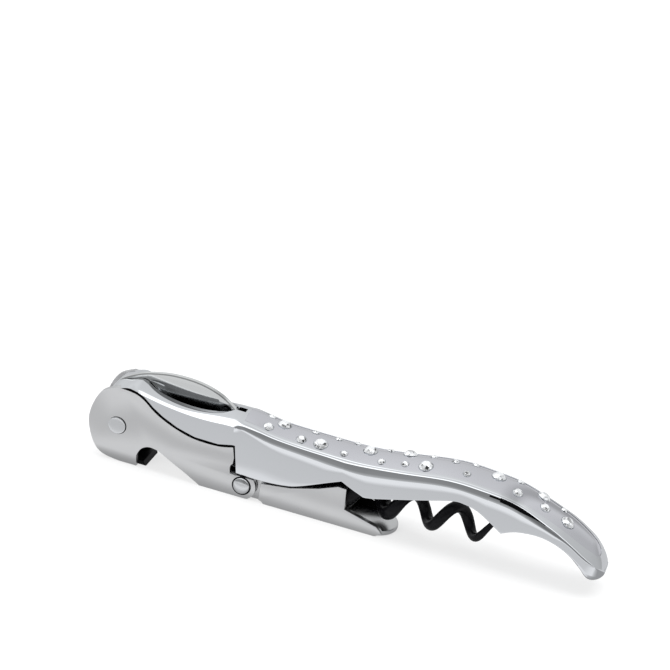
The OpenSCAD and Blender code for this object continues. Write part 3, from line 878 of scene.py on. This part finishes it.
class CORK_OT_links(bpy.types.Operator):
    """Build the two pressed links with their bends, lip and notches"""
    bl_idname = "corkscrew.links"
    bl_label = "Links"

    def execute(self, context):
        s = context.scene.cork_links
        side = context.scene.cork_handle.half
        inner = side - s.sheet
        self.first(s, side, inner)
        self.second(s, side, inner)
        return {"FINISHED"}

    @staticmethod
    def finish(bm, name, node, inner, start, end, tongue=0.0):
        """Finishes a link's sheet: the channel's inside and the tongues get steel that shades to near black
        towards the belly, painted shade.
        """
        def paint(face):
            middle, normal = face.calc_center_median(), face.normal
            x = middle.x - PIVOT.x
            if abs(middle.y) >= inner + 0.1 * MM:
                return PLATE
            # The tongues, and the inner faces that face in or up along the channel, get painted shade
            if ELBOW.x + 3 * MM < x < tongue:
                return PAINTED_SHADE
            return PAINTED_SHADE if start < x < end and (abs(normal.y) > 0.5 or normal.z > 0.3) else PLATE

        finish_piece(bm, name + "_sheet", name, ("link_steel", "link_inside"), node, paint=paint)

    @staticmethod
    def cheek(bm, outline, inner, side, bends, sizes):
        """A pair of cheeks; the outer edges that lie between two bend points get the bend's radius."""
        def at_bend(v):
            return any((v.co - place(x, v.co.y, z)).length < 1e-6 for x, z in bends)

        for sign in (-1, 1):
            outer = prism(bm, outline, sign * inner, sign * side)
            bent = [e for e in outer.edges if all(at_bend(v) for v in e.verts)]
            bevel(bm, [e for e in outer.edges if e not in bent], sizes.edge, 2)
            bevel(bm, [e for e in bent if e.is_valid], sizes.bend, 6)

    def first(self, s, side, inner):
        """The lever's first link."""
        back, edge, arch = curve(HEAD_BACK, 6), curve(LINK_EDGE, 5)[1:], curve(NOTCH_ARCH, 6)
        end = arc(ELBOW.x, ELBOW.z, s.end_r, 40, -62, 14)
        lip_end = (arch[-1][0], BELLY)
        bm = bmesh.new()
        outline = [*back, *edge, *straight(LINK_STEP), *end, (ELBOW.x, BELLY), *straight(LINK_BELLY),
                   *arch, lip_end]
        self.cheek(bm, outline, inner, side, [*back[:len(back) * 3 // 5], lip_end], s)
        lip = straight([HEAD_BACK[1], HEAD_BACK[0], (7.6, -9.2), (7, -8), (1.3, -8), (-2.4, -7.2)])
        web = straight([*LINK_BELLY[::-1], (27.6, -9.2), (27.6, -8), (21.9, -8), (14.3, -4.1)])
        for plate in (lip, web):
            prism(bm, plate, -inner - 0.05 * MM, inner + 0.05 * MM)
        self.curl(bm, s)
        self.finish(bm, "first_link", "upper_link", inner, -10 * MM, 30 * MM)

    @staticmethod
    def curl(bm, s):
        """The sheet of the head curls in towards its belly."""
        start = BELLY + s.curl_h
        for z in np.linspace(start, BELLY + 0.4 * MM, 9):
            bmesh.ops.bisect_plane(bm, geom=[*bm.verts, *bm.edges, *bm.faces], dist=1e-6,
                                   plane_co=place(0, 0, z), plane_no=(0, 0, 1))
        for v in bm.verts:
            x, z = v.co.x - PIVOT.x, v.co.z - PIVOT.z
            if z < start and x < 12 * MM and abs(v.co.y) > 1 * MM:
                v.co.y -= math.copysign(s.curl_in * ((start - z) / s.curl_h) ** 2, v.co.y)

    def second(self, s, side, inner):
        """The lever's second link with its rounded lip."""
        top = straight(LINK2_EDGE)
        face, tip = top[0][0], top[-1][0]
        belly = [(tip - 0.2 * MM, BELLY + 0.8 * MM), (tip - 1.4 * MM, BELLY), (face + 1.2 * MM, BELLY),
                 (face, BELLY + 1.2 * MM)]
        bm = bmesh.new()
        self.cheek(bm, [*top, *belly], inner, side, belly[1:3], s)
        self.lip(bm, face + 1.4 * MM, 62.2 * MM, side - 0.1 * MM, s)
        self.tongues(bm, s, inner, face)
        self.finish(bm, "second_link", "lower_link", inner, face + 2.5 * MM, 61.5 * MM, face + 0.2 * MM)

    @staticmethod
    def lip(bm, start, end, half, s):
        """The belly sheet, which ends in a half-round lip."""
        outline = [(start, -half), *arc(end, 0, half, -90, 90, 33), (start, half)]
        face = bm.faces.new([bm.verts.new(place(x, y, BELLY)) for x, y in outline])
        top = extruded(bm, face, (0, 0, s.sheet))
        bevel(bm, {*face.edges, *top.edges}, 0.3 * MM, 3)

    @staticmethod
    def tongues(bm, s, inner, face):
        """The narrow tongues on the elbow rivet and the joggles that widen to the cheeks."""
        outer = inner - s.washer_t
        eye = arc(ELBOW.x, ELBOW.z, 3 * MM, 85, 270, 24)
        end, edge = face + 2.8 * MM, -4.2 * MM
        tongue = [*eye, (end, BELLY), (end, edge)]
        joggle = [(face, -8.6 * MM), (face + 2 * MM, BELLY), (end, BELLY), (end, edge), (face, -4.5 * MM)]
        for sign in (-1, 1):
            prism(bm, tongue, sign * (outer - s.sheet), sign * outer)
            prism(bm, joggle, sign * (outer - s.sheet), sign * (inner + s.sheet - 0.2 * MM))


class CORK_OT_rivets(bpy.types.Operator):
    """Build the lever rivet and the elbow rivet with their domed heads"""
    bl_idname = "corkscrew.rivets"
    bl_label = "Rivets"

    def execute(self, context):
        s = context.scene.cork_links
        side = context.scene.cork_handle.half
        self.rivet("lever_rivet", "handle", Vector(), s.lever_rivet_r, side, dome=0.22 * MM,
                   shade_gap=0.1 * MM, shift=Vector((0.17, 0, 0.1)) * MM)
        self.rivet("elbow_rivet", "first_link", ELBOW, s.elbow_rivet_r, side, dome=0.8 * MM,
                   shade_gap=0.3 * MM, shift=Vector((0.03, 0, 0)) * MM)
        bm = bmesh.new()
        reach, r = side - 0.5 * MM, 1.3 * MM
        turned(bm, [(0, -reach), (r, -reach), (r, reach), (0, reach)], 32, JOINTS["worm_swing"] - PIVOT)
        finish_piece(bm, "worm_pin_turned", "handle", ("rivet_steel",), "worm_pin")
        return {"FINISHED"}

    @staticmethod
    def rivet(node, body, centre, r, side, dome, shade_gap, shift):
        """A shaft with a dome at each end, and a near-black disc round it, a little off its middle: painted shade
        in the gap round the head.
        """
        bm = bmesh.new()
        half = [(0.7 * r, side - 0.4 * MM), (r, side - 0.1 * MM)]
        half += [(r * math.cos(a), side + 0.03 * MM + dome * math.sin(a))
                 for a in np.linspace(0, math.pi / 2, 10)]
        turned(bm, [(radius, -y) for radius, y in reversed(half)] + half, 48, centre)
        shaft = set(bm.faces)
        # A near-black disc under the head, a little off its middle: painted shade in the gap round it
        end = side + 0.015 * MM
        turned(bm, [(0, -end), (r + shade_gap, -end), (r + shade_gap, end), (0, end)], 48, centre + shift)
        for face in bm.faces:
            face.material_index = PLATE if face in shaft else PAINTED_SHADE
        finish_piece(bm, node + "_turned", body, ("rivet_steel", "inside"), node, sharp=40)


class CORK_OT_worm(bpy.types.Operator):
    """Build the coated worm: a tapered helix on a straight shank"""
    bl_idname = "corkscrew.worm"
    bl_label = "Worm"
    axis_z, shank_z = -2.15 * MM, -1.2 * MM
    shank = 42.2 * MM, 45.5 * MM         # ends of the straight shank
    coil_start = 53.9 * MM               # where the coil is at its full width
    steps = 48                           # in a turn
    point = 44                           # steps over which the wire thins to its point
    root = 78, 98                        # steps between which the wire gets its own thickness

    def execute(self, context):
        s = context.scene.cork_worm
        wire = s.wire / 2
        coil = s.diameter / 2 - wire
        line = [Vector((x, 0, self.shank_z)) for x in np.linspace(*self.shank, 5)]
        for k in range(-self.steps // 2, int(s.turns * self.steps) + 1):
            t = k / self.steps
            grow = min(1 + 2 * t, 1)
            a = 2 * math.pi * t
            line.append(Vector((self.coil_start + s.pitch * t * (0.6 if t < 0 else 1),
                                -coil * math.sin(a) * grow,
                                self.axis_z - coil * math.cos(a) * grow
                                + (1 - grow) * (self.shank_z - self.axis_z))))
        bm = bmesh.new()
        loft(bm, [self.ring(line, i, wire, s.sides) for i in range(len(line))])
        finish_piece(bm, "worm_wire", "worm", ("worm_coating",), "worm", sharp=60)
        return {"FINISHED"}

    def ring(self, line, i, wire, sides):
        """A round section square to the line, stout at the root and thinner over the last turn."""
        ahead = (line[min(i + 1, len(line) - 1)] - line[max(i - 1, 0)]).normalized()
        across = Vector((0, 0, 1)).cross(ahead).normalized()
        over = ahead.cross(across)
        left = (len(line) - 1 - i) / self.point
        start, end = self.root
        if left < 1:
            r = wire * min(0.1 + 0.9 * left ** 0.8, 1)
        else:
            r = wire * (1 + 0.33 * eased((end - i) / (end - start)))
        centre = place(*line[i])
        return [centre + r * (math.cos(a) * across + math.sin(a) * over)
                for a in np.linspace(0, 2 * math.pi, sides, endpoint=False)]


class CORK_OT_blade(bpy.types.Operator):
    """Build the hollow-ground foil knife"""
    bl_idname = "corkscrew.blade"
    bl_label = "Knife blade"
    heel, tip = -2.95 * MM, 26.38 * MM

    def execute(self, context):
        s = context.scene.cork_knife
        back, edge, line = curve(BLADE_BACK), curve(BLADE_EDGE), curve(BLADE_GRIND)
        rings = []
        for x in np.linspace(self.heel, self.tip, 110):
            top, low = at(back, x), at(edge, x)
            if x < s.tang_r * 0.95:
                low = KNIFE_PIVOT.z - math.sqrt(max(s.tang_r ** 2 - x * x, 0.01 * MM ** 2))
            low = min(low, top - 0.05 * MM)
            rings.append([place(x, y, z) for y, z in self.section(x, top, low, at(line, x), s)])
        bm = bmesh.new()
        loft(bm, rings)
        finish_piece(bm, "knife_ground", "knife", ("blade_steel",), "knife_blade", sharp=12)
        return {"FINISHED"}

    @staticmethod
    def section(x, top, low, grind, s):
        """A cross-section: chamfered back, flat, and a hollow grind down to the edge."""
        half = s.thickness / 2
        depth = top - low
        chamfer = min(0.3 * MM, 0.3 * depth)
        grind = min(max(grind, low + 0.3 * depth), top - 1.5 * chamfer)
        keen = s.keen / 2
        blend = eased((x - s.tang_r) / s.tang_r)
        near = [(half - 0.5 * chamfer, top), (half, top - chamfer), (half, grind)]
        for t in (0.2, 0.4, 0.6, 0.8, 1.0):
            ground = keen + (half - keen) * (1 - t) ** 1.4
            near.append((half + (ground - half) * blend, grind + (low - grind) * t))
        return near + [(-y, z) for y, z in reversed(near)]


class CORK_OT_hidden(bpy.types.Operator):
    """Give the pins, washers and springs inside the corkscrew their materials"""
    bl_idname = "corkscrew.hidden"
    bl_label = "Inner parts"

    def execute(self, context):
        slots = {p["node"]: p["material_slot"] for p in frame["record"]["subparts"]}
        for name, node in frame["nodes"].items():
            if node.hide_render:
                continue
            node.data.materials.clear()
            node.data.materials.append(material_for(slots[name]))
        return {"FINISHED"}


# ---------------------------------------------------------------- stage

# What the metal sees, as (place, brightness): in the floor from the back to the front, a painted
# reflection with painted shade under the corkscrew; round the handle in degrees up from the front,
# and along it from the head's side to the tail's
FLOOR_BANDS = [(0.3, 0.6), (0.42, 0.62), (0.455, 0.8), (0.48, 0.34), (0.52, 0.34), (0.53, 0.5),
               (0.54, 0.82), (0.555, 0.78), (0.575, 0.62), (0.66, 0.59), (0.72, 0.76), (0.78, 0.87),
               (1.0, 0.88)]
STUDIO_ROUND = [(-180, 0.5), (-25, 0.6), (-16, 0.85), (-9, 0.95), (-4, 0.8), (3, 0.42), (13, 0.26),
                (62, 0.22), (67, 0.55), (72, 1.4), (90, 1.4), (96, 0.8), (103, 0.67), (165, 0.59),
                (180, 0.5)]
STUDIO_ALONG = [(-1, 0.9), (-0.45, 1.15), (-0.2, 1.05), (0.02, 1.0), (0.13, 0.72), (0.22, 0.68),
                (0.33, 1.1), (0.5, 0.85), (1, 0.8)]


class CORK_OT_stage(bpy.types.Operator):
    """Build the floor, the world, the lights and the camera"""
    bl_idname = "corkscrew.stage"
    bl_label = "Stage"

    def execute(self, context):
        scene = context.scene
        self.floor(scene)
        self.world(scene)
        self.lights()
        self.camera(scene)
        scene.view_settings.view_transform = "Standard"
        return {"FINISHED"}

    @staticmethod
    def floor(scene):
        """A wide sheet of paper just under the corkscrew, which metal sees glowing in bands of grey: a painted
        reflection, with painted shade right under the corkscrew.
        """
        bm = bmesh.new()
        bmesh.ops.create_grid(bm, x_segments=1, y_segments=1, size=3)
        bmesh.ops.translate(bm, verts=bm.verts, vec=(0, 0, -0.05 * MM))
        floor = from_bmesh("floor", bm)
        material, nodes = new_material("paper")
        paper = add(nodes, "ShaderNodeBsdfDiffuse", {"Color": (*scene.cork_finish.floor, 1)})
        where = add(nodes, "ShaderNodeTexCoord", take="Object")
        y = add(nodes, "ShaderNodeSeparateXYZ", {0: where}, take="Y")
        bands = graded(nodes, mapped(nodes, y, 0.12, -0.12), FLOOR_BANDS, (0.99, 1.0, 1.02))
        # For reflections only, the floor glows in these bands: painted reflection and painted shade
        painted_reflection = add(nodes, "ShaderNodeEmission", {"Color": bands})
        white = add(nodes, "ShaderNodeEmission", {"Color": (1, 1, 1, 1)})
        path = add(nodes, "ShaderNodeLightPath").node.outputs
        veil = add(nodes, "ShaderNodeMath", {0: path["Is Camera Ray"], 1: scene.cork_stage.veil},
                   operation="MULTIPLY")
        lit = add(nodes, "ShaderNodeMixShader", {0: veil, 1: paper, 2: white})
        show(nodes, add(nodes, "ShaderNodeMixShader", {0: path["Is Glossy Ray"], 1: lit, 2: painted_reflection}))
        floor.data.materials.append(material)

    @staticmethod
    def world(scene):
        """A white surround for the camera, and a soft studio for light and reflections."""
        scene.world = bpy.data.worlds.new("studio")
        nodes = emptied(scene.world)
        where = add(nodes, "ShaderNodeTexCoord", take="Generated")
        way = add(nodes, "ShaderNodeSeparateXYZ", {0: where}).node.outputs
        front = add(nodes, "ShaderNodeMath", {0: way["Y"], 1: -1}, operation="MULTIPLY")
        angle = add(nodes, "ShaderNodeMath", {0: way["Z"], 1: front}, operation="ARCTAN2")
        stops = [((degrees + 180) / 360, value) for degrees, value in STUDIO_ROUND]
        around = graded(nodes, mapped(nodes, angle, -math.pi, math.pi), stops, (0.985, 1.0, 1.015))
        stops = [((1 + x) / 2, value) for x, value in STUDIO_ALONG]
        along = graded(nodes, mapped(nodes, way["X"], -1.0, 1.0), stops)
        tone = mixed(nodes, 1.0, around, along, blend_type="MULTIPLY")
        studio = add(nodes, "ShaderNodeBackground", {"Color": tone})
        white = add(nodes, "ShaderNodeBackground", {"Color": (1, 1, 1, 1)})
        camera_ray = add(nodes, "ShaderNodeLightPath", take="Is Camera Ray")
        show(nodes, add(nodes, "ShaderNodeMixShader", {0: camera_ray, 1: studio, 2: white}), "World")

    @staticmethod
    def lights():
        """Soft boxes above and in front."""
        for name, where, size, power in (("overhead", (0.0, 0.1, 0.7), (0.9, 0.5), 5.0),
                                         ("front", (-0.35, -0.6, 0.45), (0.5, 0.4), 3.0)):
            data = bpy.data.lights.new(name, "AREA")
            data.shape = "RECTANGLE"
            data.size, data.size_y = size
            data.energy = power
            light = placed(name, data)
            light.location = where
            light.visible_glossy = False
            light.rotation_euler = (-Vector(where)).to_track_quat("-Z", "Y").to_euler()

    @staticmethod
    def camera(scene):
        """The main camera, set round the point it looks at."""
        s = scene.cork_stage
        around, up, roll = (math.radians(a) for a in (s.azimuth, s.elevation, s.roll))
        data = bpy.data.cameras.new("main")
        data.sensor_width = 36
        data.lens = s.lens
        camera = placed("main", data)
        camera.matrix_world = (Matrix.Translation(s.target) @ Matrix.Rotation(around, 4, "Z")
                               @ Matrix.Rotation(math.pi / 2 - up, 4, "X")
                               @ Matrix.Rotation(roll, 4, "Z") @ Matrix.Translation((0, 0, s.distance)))
        scene.camera = camera


class CORK_PT_panel(bpy.types.Panel):
    """Sizes, colours and build steps of the corkscrew"""
    bl_idname = "CORK_PT_panel"
    bl_label = "Lever corkscrew"
    bl_space_type = "VIEW_3D"
    bl_region_type = "UI"
    bl_category = "Corkscrew"

    def draw(self, context):
        for step in STEPS:
            self.layout.operator(step.bl_idname)
        for name, group in GROUPS.items():
            box = self.layout.box()
            box.label(text=group.__doc__)
            for prop in group.__annotations__:
                box.prop(getattr(context.scene, name), prop)


STEPS = (CORK_OT_handle, CORK_OT_cover, CORK_OT_stones, CORK_OT_links, CORK_OT_rivets, CORK_OT_worm,
         CORK_OT_blade, CORK_OT_hidden, CORK_OT_stage)


def register():
    for cls in (*GROUPS.values(), *STEPS, CORK_PT_panel):
        bpy.utils.register_class(cls)
    for name, group in GROUPS.items():
        setattr(bpy.types.Scene, name, PointerProperty(type=group))


def unregister():
    for name in GROUPS:
        delattr(bpy.types.Scene, name)
    for cls in (CORK_PT_panel, *reversed(STEPS), *GROUPS.values()):
        bpy.utils.unregister_class(cls)


def main():
    """Builds everything in order."""
    register()
    for step in STEPS:
        group, name = step.bl_idname.split(".")
        getattr(getattr(bpy.ops, group), name)()


if __name__ == "__main__":
    main()
